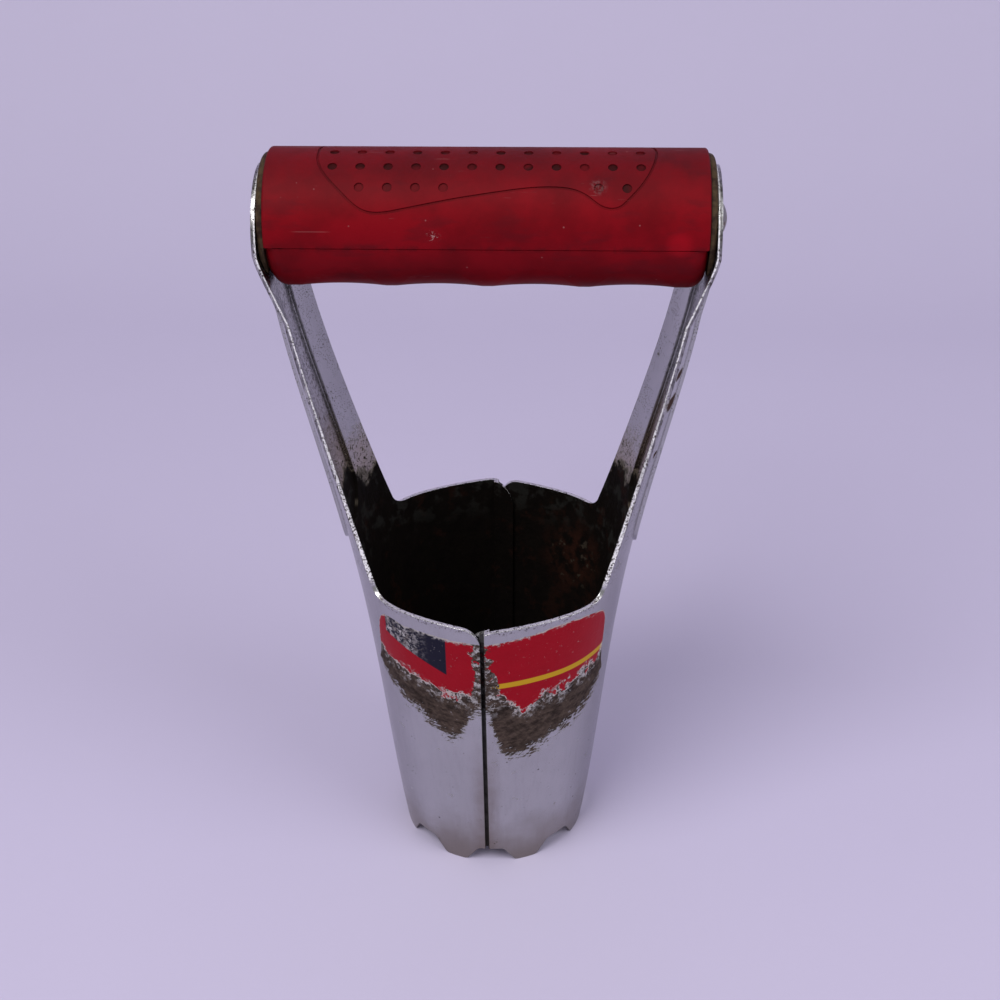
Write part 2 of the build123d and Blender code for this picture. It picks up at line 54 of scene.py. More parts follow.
class Paint:
    """One material. Each method adds a node, fed by numbers or other nodes, and gives its output."""

    SPOT_CORE = 0.6
    BEVEL_SAMPLES = 6

    def __init__(self, name):
        self.material = bpy.data.materials.new(name)
        self.material.use_nodes = True
        self.tree = self.material.node_tree
        self.shader = self.tree.nodes["Principled BSDF"]
        place = self.tree.nodes.new("ShaderNodeTexCoord")
        self.place = place.outputs["Object"]
        self.facing = place.outputs["Normal"]
        self.x, self.y, self.z = (self.times(value, 1 / MM) for value in self.split(self.place))

    def feed(self, socket, value):
        if isinstance(value, bpy.types.NodeSocket):
            self.tree.links.new(value, socket)
        else:
            socket.default_value = value

    def node(self, kind, output, inputs, **settings):
        node = self.tree.nodes.new("ShaderNode" + kind)
        for key, value in settings.items():
            setattr(node, key, value)
        for key, value in inputs.items():
            self.feed(node.inputs[key], value)
        return node.outputs[output]

    def split(self, vector):
        node = self.tree.nodes.new("ShaderNodeSeparateXYZ")
        self.feed(node.inputs[0], vector)
        return node.outputs

    def math(self, operation, *values):
        return self.node("Math", 0, dict(enumerate(values)), operation=operation)

    def add(self, *values):
        return reduce(lambda a, b: self.math("ADD", a, b), values)

    def less(self, a, b):
        return self.math("SUBTRACT", a, b)

    def times(self, *values):
        return reduce(lambda a, b: self.math("MULTIPLY", a, b), values)

    def most(self, *values):
        return reduce(lambda a, b: self.math("MAXIMUM", a, b), values)

    def size(self, value):
        return self.math("ABSOLUTE", value)

    def inverse(self, value):
        return self.math("SUBTRACT", 1.0, value)

    def dot(self, a, b):
        return self.node("VectorMath", "Value", {0: a, 1: b}, operation="DOT_PRODUCT")

    def vector(self, x, y, z):
        return self.node("CombineXYZ", 0, {0: x, 1: y, 2: z})

    def away(self, centre, place=None):
        """The distance from a point, both in millimetres."""
        inputs = {0: place or self.place, 1: Vector(centre) * MM}
        return self.times(self.node("VectorMath", "Value", inputs, operation="DISTANCE"), 1 / MM)

    def rise(self, value, low, high):
        """0 below low, 1 above high, and smooth between; it falls where low is the larger."""
        return self.node("MapRange", 0, {0: value, 1: low, 2: high}, interpolation_type="SMOOTHSTEP")

    def spread(self, value, low, high, start=0.0, end=1.0):
        """Straight from low, where the value is at its start, to high, where it is at its end."""
        return self.node("MapRange", 0, {0: value, 1: start, 2: end, 3: low, 4: high})

    def noise(self, size, detail=3.0, rough=0.55, place=None, stretch=(1, 1, 1)):
        """Even noise from 0 to 1, in lumps of about that size in millimetres."""
        scaled = self.node("Mapping", 0, {0: place or self.place, 3: stretch})
        inputs = {"Vector": scaled, "Scale": 1 / (size * MM), "Detail": detail, "Roughness": rough}
        return self.node("TexNoise", 0, inputs)

    def wander(self, size, reach, detail=3.0, rough=0.55):
        """Noise to both sides of 0; reach is what its full range would come to."""
        return self.times(self.add(self.noise(size, detail, rough), -0.5), reach)

    def spots(self, size, reach):
        """Round spots about size millimetres apart; reach is their radius as a share of that."""
        inputs = {"Vector": self.place, "Scale": 1 / (size * MM)}
        return self.rise(self.node("TexVoronoi", "Distance", inputs), reach, reach * self.SPOT_CORE)

    def blend(self, share, a, b):
        return self.node("Mix", 2, {0: share, 6: a, 7: b}, data_type="RGBA")

    def curve(self, value, points):
        """A smooth curve through points whose two numbers are both from 0 to 1."""
        node = self.tree.nodes.new("ShaderNodeFloatCurve")
        line = node.mapping.curves[0]
        line.points[0].location = points[0]
        line.points[1].location = points[-1]
        for point in points[1:-1]:
            line.points.new(*point)
        node.mapping.update()
        self.feed(node.inputs["Value"], value)
        return node.outputs[0]

    def surface(self, colour, metal, rough, height=None, depth=0.0, edge=0.0, **fixed):
        """Feeds the shader; depth is the bump's in millimetres and edge the rounding of its corners."""
        self.feed(self.shader.inputs["Base Color"], colour)
        self.feed(self.shader.inputs["Metallic"], metal)
        self.feed(self.shader.inputs["Roughness"], rough)
        for key, value in fixed.items():
            self.feed(self.shader.inputs[key.replace("_", " ")], value)
        normal = None
        if edge:
            normal = self.node("Bevel", 0, {"Radius": edge * MM}, samples=self.BEVEL_SAMPLES)
        if height is not None:
            inputs = {"Height": height, "Distance": depth * MM, "Strength": 1.0}
            if normal is not None:
                inputs["Normal"] = normal
            normal = self.node("Bump", 0, inputs)
        if normal is not None:
            self.feed(self.shader.inputs["Normal"], normal)


def dress(name, paint):
    node = nodes[name]
    node.data.materials.clear()
    node.data.materials.append(paint.material)


RIM_Z = 103.0
ARM_FOOT_X, ARM_SLOPE, ARM_BOW = 42.3, 0.2084, 49.0
EYE_X, FLATTEN_Z, EYE_Z = 63.5, 187.3, 207.3
RIB_FOOT_Z, RIB_FOOT_HALF = 123.0, 12.4
RIB_TOP_Z, RIB_TOP_HALF = 191.3, 7.4
RIB_REACH, ARM_MIDDLE_Z = 15.0, 145.0
FOOT_HALF = 27.0
chrome = Paint("worn_chrome")
x, y, z = chrome.x, chrome.y, chrome.z

# Where on the sheet: its two skins, the arm, the square cut edges, and the depth below the outer skin
outward = chrome.node("VectorMath", 0, {0: chrome.vector(x, y, 0.0)}, operation="NORMALIZE")
facing_out = chrome.dot(chrome.facing, outward)
facing = chrome.split(chrome.facing)
outside = chrome.rise(facing_out, 0.1, 0.4)
on_arm = chrome.rise(z, RIM_Z + 2.0, RIM_Z + 6.0)
across = chrome.size(y)
arm_line = chrome.add(chrome.times(chrome.add(z, -RIM_Z), ARM_SLOPE), ARM_FOOT_X)
arm_line = chrome.math("MINIMUM", arm_line, EYE_X)
bow = chrome.times(y, y, 0.5 / ARM_BOW, chrome.spread(z, 1.0, 0.0, FLATTEN_Z, EYE_Z))
depth = chrome.less(chrome.less(arm_line, bow), chrome.size(x))
square_cut = chrome.times(chrome.rise(chrome.size(facing["X"]), 0.30, 0.15), on_arm)
arm_edge = chrome.times(square_cut, chrome.rise(across, RIB_REACH, RIB_REACH + 0.5))
within_rib = chrome.rise(across, RIB_REACH + 0.5, RIB_REACH)
rib_wall = chrome.times(square_cut, within_rib, chrome.rise(depth, 0.1, 0.3))
facing_up = chrome.rise(facing["Z"], 0.6, 0.8)
lower_arm = chrome.rise(z, ARM_MIDDLE_Z + 5.0, ARM_MIDDLE_Z - 5.0)
rib_foot = chrome.times(facing_up, on_arm, within_rib, lower_arm)
inside = chrome.most(chrome.rise(facing_out, -0.1, -0.4), rib_wall, rib_foot)
sheet_edge = chrome.most(chrome.times(facing_up, chrome.inverse(rib_foot)), arm_edge)
outer_lip = chrome.times(sheet_edge, on_arm, chrome.rise(depth, 0.85, 0.65))
rim_band = chrome.times(outside, chrome.rise(z, RIM_Z - 2.2, RIM_Z - 0.6), chrome.inverse(on_arm),
                        chrome.rise(across, FOOT_HALF, FOOT_HALF + 3.0))
angle = chrome.math("ARCTAN2", x, chrome.times(y, -1.0))
angle_share = chrome.add(chrome.times(angle, 1 / pi), 0.5)

# Plating: dull clouds, long drawing marks, painted shade towards the tube's sides, brown stains at the foot,
# and pits
DULL_CHROME, CLEAR_CHROME = (0.40, 0.40, 0.405, 1), (0.49, 0.49, 0.495, 1)
DRAWING_MARK, SIDE_SHADE, FOOT_STAIN = (0.33, 0.32, 0.33, 1), (0.24, 0.235, 0.24, 1), (0.215, 0.18, 0.15, 1)
coarse = chrome.noise(14, 4)
middling = chrome.noise(4, 4)
fine = chrome.noise(0.9, 3)
grain = chrome.noise(0.4, 2)
brushed = chrome.noise(1.3, 4, 0.6, stretch=(1.0, 1.0, 0.04))
pit_field = chrome.rise(chrome.add(chrome.noise(10, 3), chrome.times(on_arm, 0.10)), 0.54, 0.68)
pits = chrome.times(chrome.spots(1.5, 0.24), chrome.rise(chrome.noise(3.2, 2), 0.55, 0.62))
pits = chrome.most(chrome.times(pits, chrome.spread(pit_field, 0.12, 1.0)),
                   chrome.times(chrome.spots(0.6, 0.30), pit_field, on_arm))
plating = chrome.blend(coarse, DULL_CHROME, CLEAR_CHROME)
drawn = chrome.times(chrome.rise(brushed, 0.45, 0.75), 0.25)
plating = chrome.blend(drawn, plating, DRAWING_MARK)
# Painted shade: the outer skin darkens towards the tube's left and right sides, fading out up the arms
side_shade_fade = chrome.rise(z, RIM_Z + 45.0, RIM_Z - 10.0)
side_shade = chrome.times(chrome.rise(chrome.size(angle), 0.65, 1.15), side_shade_fade, outside, 0.5)
plating = chrome.blend(side_shade, plating, SIDE_SHADE)
foot_stain = chrome.rise(chrome.add(z, chrome.times(coarse, 24.0)), 38.0, 12.0)
plating = chrome.blend(chrome.times(foot_stain, 0.8), plating, FOOT_STAIN)

# The arms' hollow side: grey with fine dirt in the rib, dark along the rib's rear wall, and freckled
RIB_GREY, RIB_SHADOW = (0.38, 0.375, 0.375, 1), (0.06, 0.058, 0.058, 1)
RIB_SPECKLE, FRECKLE = (0.045, 0.042, 0.040, 1), (0.055, 0.045, 0.040, 1)
rib_half = chrome.spread(z, RIB_FOOT_HALF, RIB_TOP_HALF, RIB_FOOT_Z, RIB_TOP_Z)
from_rib = chrome.less(y, rib_half)
hollow = chrome.times(inside, on_arm)
in_rib = chrome.times(hollow, chrome.rise(from_rib, 0.4, -0.4))
rib_line = chrome.times(hollow, chrome.rise(chrome.size(from_rib), 0.7, 0.1))
rib_dirt = chrome.spread(chrome.rise(chrome.noise(0.8, 5, 0.75), 0.40, 0.62), 0.30, 0.95)
plating = chrome.blend(chrome.times(in_rib, rib_dirt), plating, RIB_GREY)
plating = chrome.blend(chrome.times(rib_line, 0.45), plating, RIB_SHADOW)
speckle = chrome.times(in_rib, chrome.rise(chrome.noise(0.9, 2, 0.6), 0.52, 0.59))
plating = chrome.blend(chrome.times(speckle, 0.85), plating, RIB_SPECKLE)
freckles = chrome.times(chrome.spots(6.5, 0.07), chrome.rise(chrome.noise(16, 2), 0.46, 0.54))
plating = chrome.blend(chrome.times(freckles, 0.85), plating, FRECKLE)

# Cut edges: a painted white highlight along their rounding, streaked grey beside the outer skin, with black
# specks.
# The arms' outer faces have long dark streaks.
RIM_HIGHLIGHT, ARM_HIGHLIGHT = (0.72, 0.71, 0.715, 1), (0.88, 0.875, 0.88, 1)
LIP_DARK, LIP_LIGHT, ARM_STREAK = (0.16, 0.155, 0.16, 1), (0.46, 0.455, 0.46, 1), (0.15, 0.147, 0.155, 1)
PIT, EDGE_SPECK = (0.05, 0.045, 0.04, 1), (0.06, 0.05, 0.045, 1)
# Painted highlight: white on the cut edges, broken up by the grain
edge_highlight = chrome.times(sheet_edge, chrome.rise(grain, 0.30, 0.48))
highlight_tone = chrome.blend(on_arm, RIM_HIGHLIGHT, ARM_HIGHLIGHT)
plating = chrome.blend(edge_highlight, plating, highlight_tone)
streak = chrome.noise(0.8, 4, 0.7, stretch=(1.0, 1.0, 0.08))
lip_tone = chrome.blend(chrome.rise(streak, 0.40, 0.62), LIP_DARK, LIP_LIGHT)
bands = chrome.rise(chrome.noise(2.6, 4, 0.65, stretch=(1.0, 1.0, 0.06)), 0.47, 0.58)
arm_streaks = chrome.most(chrome.times(chrome.rise(streak, 0.50, 0.68), 0.6), chrome.times(bands, 0.35))
arm_streaks = chrome.times(outside, chrome.rise(z, RIM_Z, RIM_Z + 40.0), arm_streaks)
plating = chrome.blend(arm_streaks, plating, ARM_STREAK)
plating = chrome.blend(outer_lip, plating, lip_tone)
plating = chrome.blend(chrome.times(pits, 0.9), plating, PIT)
low_arm = chrome.times(on_arm, chrome.rise(z, 160.0, 125.0))
speck_field = chrome.add(chrome.noise(0.7, 3, 0.7), chrome.times(on_arm, -0.01), chrome.times(low_arm, 0.04))
specks = chrome.rise(speck_field, 0.55, 0.60)
specks = chrome.times(chrome.most(sheet_edge, rim_band), specks)
plating = chrome.blend(specks, plating, EDGE_SPECK)
# Painted highlight: the white cut edges lose most of their metal, so that they stay bright under any light
matte_highlight = chrome.times(edge_highlight, chrome.inverse(outer_lip), chrome.spread(on_arm, 0.30, 1.0))

# Rust: patches where the plating has failed, and three blisters on the right arm
BLISTERS = (((52.1, -16.0, 163.5), 3.2), ((54.0, -16.0, 172.5), 2.3), ((48.3, -17.0, 147.0), 1.3))
BLISTER_DRAW, BLISTER_CORE = 0.5, 0.6
RUST_DARK, RUST_LIGHT = (0.014, 0.008, 0.007, 1), (0.070, 0.030, 0.017, 1)
rust = chrome.times(chrome.rise(chrome.noise(9, 5, 0.62), 0.66, 0.72), chrome.spread(inside, 0.25, 0.9))
ragged = chrome.wander(1.6, 2.6, 4, 0.7)
drawn_out = chrome.node("Mapping", 0, {0: chrome.place, 3: (1.0, BLISTER_DRAW, 1.0)})
outer_side = chrome.most(outside, sheet_edge)
for centre, radius in BLISTERS:
    middle = (centre[0], centre[1] * BLISTER_DRAW, centre[2])
    reach = chrome.add(chrome.away(middle, drawn_out), ragged)
    rust = chrome.most(rust, chrome.times(outer_side, chrome.rise(reach, radius, radius * BLISTER_CORE)))
rust_tone = chrome.blend(fine, RUST_DARK, RUST_LIGHT)

# Labels: red foil with a dark blue corner and a plain yellow rule, torn below and beside the seam, with
# pale paper along the tear. The lines go by shares of a half turn round the front and of CURVE_Z.
CURVE_Z = 100.0
LABEL_TOP = [(0.0, 0.5), (0.17, 0.78), (0.235, 0.975), (0.30, 0.978), (0.47, 0.982), (0.50, 0.985),
             (0.79, 0.985), (0.812, 0.96), (0.85, 0.74), (1.0, 0.5)]
LABEL_TEAR = [(0.0, 1.0), (0.15, 0.92), (0.18, 0.825), (0.22, 0.785), (0.28, 0.79), (0.345, 0.775),
              (0.40, 0.745), (0.45, 0.76), (0.50, 0.80), (0.53, 0.77), (0.59, 0.695), (0.645, 0.73),
              (0.70, 0.745), (0.77, 0.757), (0.835, 0.80), (0.86, 1.0), (1.0, 1.0)]
LEFT_END_X, RIGHT_END_X, RIGHT_END_Z, RIGHT_END_LEAN = -4.0, 0.6, 97.0, 0.13
SEAM_MIDDLE_X = -1.2
BLUE_FOOT, BLUE_SLOPE, BLUE_LEFT, BLUE_RIGHT = 78.3, 0.42, -31.05, -12.15
RULE_FOOT, RULE_TOP, RULE_LEFT = 80.3, 82.3, -0.2
DEEP_RED, LABEL_RED = (0.26, 0.003, 0.010, 1), (0.32, 0.004, 0.013, 1)
LABEL_BLUE, LABEL_YELLOW = (0.010, 0.010, 0.022, 1), (0.50, 0.29, 0.015, 1)
FOIL_DARK, FOIL_LIGHT, TORN_PAPER = (0.10, 0.085, 0.08, 1), (0.50, 0.48, 0.49, 1), (0.46, 0.43, 0.41, 1)
label_top = chrome.times(chrome.curve(angle_share, LABEL_TOP), CURVE_Z)
tear_z = chrome.times(chrome.curve(angle_share, LABEL_TEAR), CURVE_Z)
shreds = chrome.add(chrome.wander(6, 13.0, 3, 0.6), chrome.wander(2.2, 6.0, 3, 0.6))
above_tear = chrome.add(chrome.less(z, tear_z), shreds)
below_top = chrome.add(chrome.less(label_top, z), chrome.times(shreds, 0.12))
front = chrome.times(outside, chrome.rise(y, -6.0, -12.0), chrome.inverse(sheet_edge))
left_of_seam = chrome.rise(chrome.add(x, chrome.times(shreds, 0.6)), LEFT_END_X + 0.2, LEFT_END_X - 0.2)
lean = chrome.times(chrome.less(RIGHT_END_Z, z), RIGHT_END_LEAN)
right_end = chrome.add(chrome.less(x, lean), chrome.times(shreds, 0.7))
right_of_seam = chrome.rise(right_end, RIGHT_END_X - 0.2, RIGHT_END_X + 0.2)
under_top = chrome.times(front, chrome.rise(below_top, 0.0, 0.3))
label = chrome.times(under_top, chrome.rise(above_tear, 0.2, 0.5), chrome.most(left_of_seam, right_of_seam))
by_seam = chrome.rise(chrome.size(chrome.less(x, SEAM_MIDDLE_X)), 6.0, 3.5)
by_seam = chrome.times(under_top, by_seam, chrome.rise(z, 66.0, 76.0))
scraps = chrome.rise(chrome.noise(2.2, 3, 0.65), 0.60, 0.62)
scraps = chrome.times(by_seam, scraps, chrome.rise(z, 80.0, 84.0))
label = chrome.most(label, scraps)
bared = chrome.inverse(label)
flakes = chrome.noise(1.9, 4, 0.7)
fringe = chrome.times(under_top, chrome.rise(above_tear, -5.0, -0.5), bared)
bare_foil = chrome.most(chrome.times(fringe, chrome.rise(flakes, 0.49, 0.54)),
                        chrome.times(by_seam, bared, chrome.rise(flakes, 0.49, 0.54)))

red = chrome.blend(middling, DEEP_RED, LABEL_RED)
blue_line = chrome.add(z, chrome.times(x, BLUE_SLOPE))
in_blue = chrome.times(chrome.rise(blue_line, BLUE_FOOT - 0.1, BLUE_FOOT + 0.1),
                       chrome.rise(x, BLUE_RIGHT + 0.15, BLUE_RIGHT - 0.15),
                       chrome.rise(x, BLUE_LEFT - 0.15, BLUE_LEFT + 0.15))
ink = chrome.blend(in_blue, red, LABEL_BLUE)
rule = chrome.times(chrome.rise(z, RULE_FOOT - 0.1, RULE_FOOT + 0.1),
                    chrome.rise(z, RULE_TOP + 0.1, RULE_TOP - 0.1),
                    chrome.rise(x, RULE_LEFT - 0.2, RULE_LEFT + 0.2))
ink = chrome.blend(rule, ink, LABEL_YELLOW)
scuffs = chrome.times(chrome.rise(chrome.noise(1.4, 5, 0.8), 0.63, 0.68), chrome.rise(coarse, 0.46, 0.62))
near_edge = chrome.most(chrome.rise(above_tear, 3.5, 0.3), chrome.rise(below_top, 2.0, 0.2))
chips = chrome.times(near_edge, chrome.rise(chrome.noise(1.6, 4, 0.7), 0.54, 0.59))
blue_wear = chrome.times(chrome.rise(chrome.noise(1.4, 5, 0.75), 0.47, 0.53), chrome.rise(x, -17.0, -26.0))
worn = chrome.most(scuffs, chips, chrome.times(blue_wear, in_blue))
mottle = chrome.rise(chrome.noise(1.7, 4, 0.7), 0.35, 0.65)
foil_tone = chrome.blend(mottle, FOIL_DARK, FOIL_LIGHT)
ink = chrome.blend(worn, ink, foil_tone)
torn_paper = chrome.most(chrome.rise(above_tear, 1.5, 0.9), chrome.rise(below_top, 0.8, 0.4))
torn_paper = chrome.times(torn_paper, chrome.rise(chrome.noise(2.4, 3), 0.42, 0.50))
ink = chrome.blend(chrome.times(torn_paper, 0.85), ink, TORN_PAPER)

# What the labels' lost parts left: a brown crust of old glue, scrubbed thin and frayed along its edge
CRUST_FOOT = [(0.0, 1.0), (0.12, 1.0), (0.155, 0.74), (0.24, 0.67), (0.31, 0.635), (0.37, 0.58),
              (0.41, 0.56), (0.455, 0.66), (0.478, 0.70), (0.50, 0.685), (0.518, 0.60), (0.56, 0.50),
              (0.615, 0.505), (0.67, 0.545), (0.74, 0.567), (0.82, 0.63), (0.87, 0.72), (0.90, 1.0),
              (1.0, 1.0)]
CRUST_DARK, CRUST_LIGHT = (0.015, 0.010, 0.008, 1), (0.088, 0.063, 0.050, 1)
SCRUB_DRAW, STRAND_DRAW, STRAND_LEAN_DRAW = 0.35, 0.12, 0.15
SCRUB_REACH, STRAND_REACH = 28.0, 10.0
rising = chrome.times(chrome.add(x, z), MM)
falling = chrome.times(chrome.less(x, z), MM)
ahead = chrome.times(y, MM)
scrub_up = chrome.noise(2.6, 4, 0.7, chrome.vector(chrome.times(rising, SCRUB_DRAW), ahead, falling))
scrub_down = chrome.noise(2.2, 4, 0.7, chrome.vector(chrome.times(falling, SCRUB_DRAW), ahead, rising))
scrub_along = chrome.noise(1.3, 4, 0.7, stretch=(SCRUB_DRAW / 2, SCRUB_DRAW / 2, 1.0))
scrub = chrome.times(chrome.add(scrub_up, scrub_down, scrub_along), 1 / 3)
above_crust = chrome.less(z, chrome.times(chrome.curve(angle_share, CRUST_FOOT), CURVE_Z))
above_crust = chrome.add(above_crust, chrome.times(chrome.add(scrub, -0.5), SCRUB_REACH))
strands_along = chrome.noise(0.6, 2, 0.6, stretch=(STRAND_DRAW, STRAND_DRAW, 1.0))
leaning = chrome.vector(chrome.times(rising, STRAND_LEAN_DRAW), ahead, falling)
strands_up = chrome.noise(0.8, 2, 0.6, leaning)
strands = chrome.add(strands_along, strands_up, -1.0)
above_crust = chrome.add(above_crust, chrome.times(strands, STRAND_REACH))
crust = chrome.times(under_top, chrome.rise(above_crust, -1.0, 2.0), chrome.rise(scrub, 0.645, 0.59))
crust_tone = chrome.blend(chrome.rise(scrub, 0.36, 0.64), CRUST_DARK, CRUST_LIGHT)

# Soil: a dark skin inside the tube, up to an uneven line on the arms, and packed in the open seams.
# Above it are brown stains in the ribs and buff splashes, and beside the seams it has wept.
RUST_BLOOM = (27.0, 30.0, 82.0)
SOIL_Z, SPLASH_Z, STAIN_Z, STAIN_TURN_Z = 119.0, 122.0, 130.0, 128.0
SEAM_LEFT, SEAM_RIGHT, WEEP_X = 0.45, 1.875, 1.2
LEFT_STAIN, LEFT_STAIN_TOP = (0.070, 0.052, 0.040, 1), (0.20, 0.175, 0.145, 1)
RIGHT_STAIN, RIGHT_STAIN_TOP = (0.062, 0.017, 0.012, 1), (0.19, 0.130, 0.062, 1)
SPLASH, WEEP = (0.35, 0.29, 0.22, 1), (0.19, 0.145, 0.115, 1)
SOIL_DARK, SOIL_LIGHT = (0.0018, 0.0013, 0.0012, 1), (0.0085, 0.0058, 0.0046, 1)
RUSTY_SOIL, DRIED_SOIL = (0.022, 0.0078, 0.0050, 1), (0.024, 0.024, 0.022, 1)
BLOOM_TONE, CRUMB = (0.025, 0.0088, 0.0056, 1), (0.040, 0.031, 0.023, 1)
soil_line = chrome.add(z, chrome.wander(8, 26.0, 5, 0.6), chrome.times(in_rib, -5.0),
                       chrome.times(chrome.rise(y, -7.0, -13.0), 14.0))
soil = chrome.times(inside, chrome.inverse(sheet_edge), chrome.rise(soil_line, SOIL_Z + 5.0, SOIL_Z))
stain_line = chrome.add(soil_line, chrome.times(chrome.rise(x, 5.0, -5.0), 4.0))
stain = chrome.times(in_rib, chrome.rise(stain_line, STAIN_Z + 32.0, STAIN_Z), 0.95)
on_right = chrome.rise(x, -5.0, 5.0)
stain_low = chrome.blend(on_right, LEFT_STAIN, RIGHT_STAIN)
stain_high = chrome.blend(on_right, LEFT_STAIN_TOP, RIGHT_STAIN_TOP)
stain_tone = chrome.blend(chrome.rise(stain_line, STAIN_TURN_Z, STAIN_TURN_Z + 16.0), stain_low, stain_high)
plating = chrome.blend(stain, plating, stain_tone)
splashed = chrome.times(hollow, chrome.rise(soil_line, SPLASH_Z + 20.0, SPLASH_Z))
plating = chrome.blend(chrome.times(splashed, 0.75), plating, SPLASH)
spatter = chrome.times(splashed, chrome.rise(chrome.noise(0.9, 3, 0.7), 0.56, 0.60))
soil = chrome.most(soil, chrome.times(spatter, chrome.inverse(sheet_edge)))
past_middle = chrome.times(x, chrome.math("SIGN", y))
seam = chrome.times(chrome.rise(past_middle, SEAM_LEFT - 0.15, SEAM_LEFT + 0.15),
                    chrome.rise(past_middle, SEAM_RIGHT + 0.125, SEAM_RIGHT - 0.125),
                    chrome.rise(z, RIM_Z + 1.0, RIM_Z - 1.0))
weep = chrome.times(chrome.rise(chrome.size(chrome.less(past_middle, WEEP_X)), 6.0, 0.8),
                    chrome.rise(chrome.add(z, chrome.times(coarse, 20.0)), 78.0, 40.0),
                    chrome.spread(middling, 0.15, 0.75))
plating = chrome.blend(weep, plating, WEEP)
soil = chrome.most(soil, chrome.times(seam, chrome.spread(chrome.noise(3, 4), 0.75, 1.0)))
soil_tone = chrome.blend(middling, SOIL_DARK, SOIL_LIGHT)
rusty_soil = chrome.add(chrome.noise(7, 6, 0.65), chrome.times(chrome.rise(x, 0.0, 26.0), 0.05))
rusty_soil = chrome.times(chrome.rise(rusty_soil, 0.56, 0.68), 0.5)
soil_tone = chrome.blend(rusty_soil, soil_tone, RUSTY_SOIL)
dried = chrome.rise(chrome.noise(5, 5, 0.6), 0.50, 0.62)
dried = chrome.times(chrome.rise(z, RIM_Z - 16.0, RIM_Z - 3.0), dried)
soil_tone = chrome.blend(chrome.times(dried, 0.6), soil_tone, DRIED_SOIL)
from_bloom = chrome.away(RUST_BLOOM)
bloom = chrome.times(chrome.rise(from_bloom, 17.0, 5.0), chrome.rise(chrome.noise(4.5, 4, 0.6), 0.40, 0.60))
soil_tone = chrome.blend(bloom, soil_tone, BLOOM_TONE)
crumbs = chrome.times(chrome.rise(from_bloom, 14.0, 6.0), chrome.rise(chrome.noise(2.6, 3, 0.6), 0.60, 0.66))
soil_tone = chrome.blend(crumbs, soil_tone, CRUMB)

# The layers, from the plating outwards
BLADE_BUMP, BLADE_EDGE = 0.14, 0.5
colour = chrome.blend(rust, plating, rust_tone)
colour = chrome.blend(crust, colour, crust_tone)
colour = chrome.blend(chrome.times(bare_foil, 0.85), colour, foil_tone)
colour = chrome.blend(label, colour, ink)
colour = chrome.blend(soil, colour, soil_tone)
covered = chrome.most(label, crust, soil, bare_foil, rust)
metal = chrome.inverse(chrome.most(covered, chrome.times(pits, 0.6), chrome.times(matte_highlight, 0.8)))
rough = chrome.node("Mix", 0, {0: covered, 2: chrome.spread(middling, 0.17, 0.31), 3: 0.72})
rough = chrome.node("Mix", 0, {0: label, 2: rough, 3: 0.42})
lumps = chrome.add(chrome.times(chrome.noise(2.2, 5, 0.65), soil, 3.0), chrome.times(fine, 0.4))
height = chrome.add(chrome.times(pits, -0.4), chrome.times(brushed, 0.012),
                    chrome.times(covered, chrome.add(lumps, 0.2)), chrome.times(sheet_edge, grain, 0.35))
chrome.surface(colour, metal, rough, height, BLADE_BUMP, edge=BLADE_EDGE, Specular_IOR_Level=0.06)
dress("left_blade", chrome)
dress("right_blade", chrome)

# Grip: an upper palm half and a lower finger half, moulded in dark red plastic. The skin is scuffed,
# and dirt has settled in the pits, in the engraved line and along the split.
AXLE_Z = 212.3
GRIP_RADIUS = 19.1
SPLIT_SLOPE = 0.1228
DARK_RED, CLEAR_RED = (0.118, 0.0012, 0.0042, 1), (0.178, 0.0015, 0.0056, 1)
SMEAR = (0.065, 0.0035, 0.0070, 1)
DUST, SPLIT_DIRT, SUNK_DIRT = (0.055, 0.008, 0.011, 1), (0.030, 0.003, 0.005, 1), (0.020, 0.0045, 0.0045, 1)
SCRATCH, SCUFF, HIGHLIGHT_RED = (0.30, 0.12, 0.12, 1), (0.20, 0.055, 0.060, 1), (0.34, 0.0030, 0.0105, 1)
NICK, CHAFE, DRAG = (0.36, 0.20, 0.20, 1), (0.15, 0.075, 0.078, 1), (0.28, 0.09, 0.09, 1)
HIGHLIGHT_PLACE, HIGHLIGHT_REACH = (52.0, -19.0, 211.5), 4.8
NICK_PLACE, NICK_REACH = (-14.0, -19.0, 213.6), 2.4
CHAFE_PLACE, CHAFE_REACH = (30.0, -13.6, 225.8), 3.0
DRAG_Z, DRAG_LEFT, DRAG_RIGHT = 214.7, -51.5, -42.5
GRIP_BUMP, GRIP_EDGE = 0.04, 0.12
plastic = Paint("scuffed_red_plastic")
x, y, z = plastic.x, plastic.y, plastic.z
up = plastic.add(z, -AXLE_Z)
from_axle = plastic.math("SQRT", plastic.add(plastic.times(y, y), plastic.times(up, up)))
sunk = plastic.rise(from_axle, GRIP_RADIUS - 0.12, GRIP_RADIUS - 0.32)
sunk = plastic.times(sunk, plastic.rise(up, 2.0, 4.0))
clouds = plastic.noise(16, 4, 0.6)
grime = plastic.noise(6, 5, 0.65)
smears = plastic.noise(7, 4, 0.6, stretch=(0.35, 1.0, 1.0))
speck = plastic.times(plastic.spots(4.2, 0.07), plastic.rise(plastic.noise(9, 2), 0.50, 0.58))
along = plastic.noise(0.8, 4, 0.7, stretch=(0.04, 1.0, 1.0))
scratch = plastic.times(plastic.rise(along, 0.66, 0.70), plastic.rise(plastic.noise(12, 2), 0.50, 0.58))
scuff = plastic.times(plastic.rise(plastic.noise(0.8, 4, 0.8), 0.60, 0.70), plastic.rise(grime, 0.62, 0.70))
skin = plastic.blend(plastic.rise(clouds, 0.30, 0.70), DARK_RED, CLEAR_RED)
skin = plastic.blend(plastic.times(plastic.rise(smears, 0.54, 0.68), 0.38), skin, SMEAR)
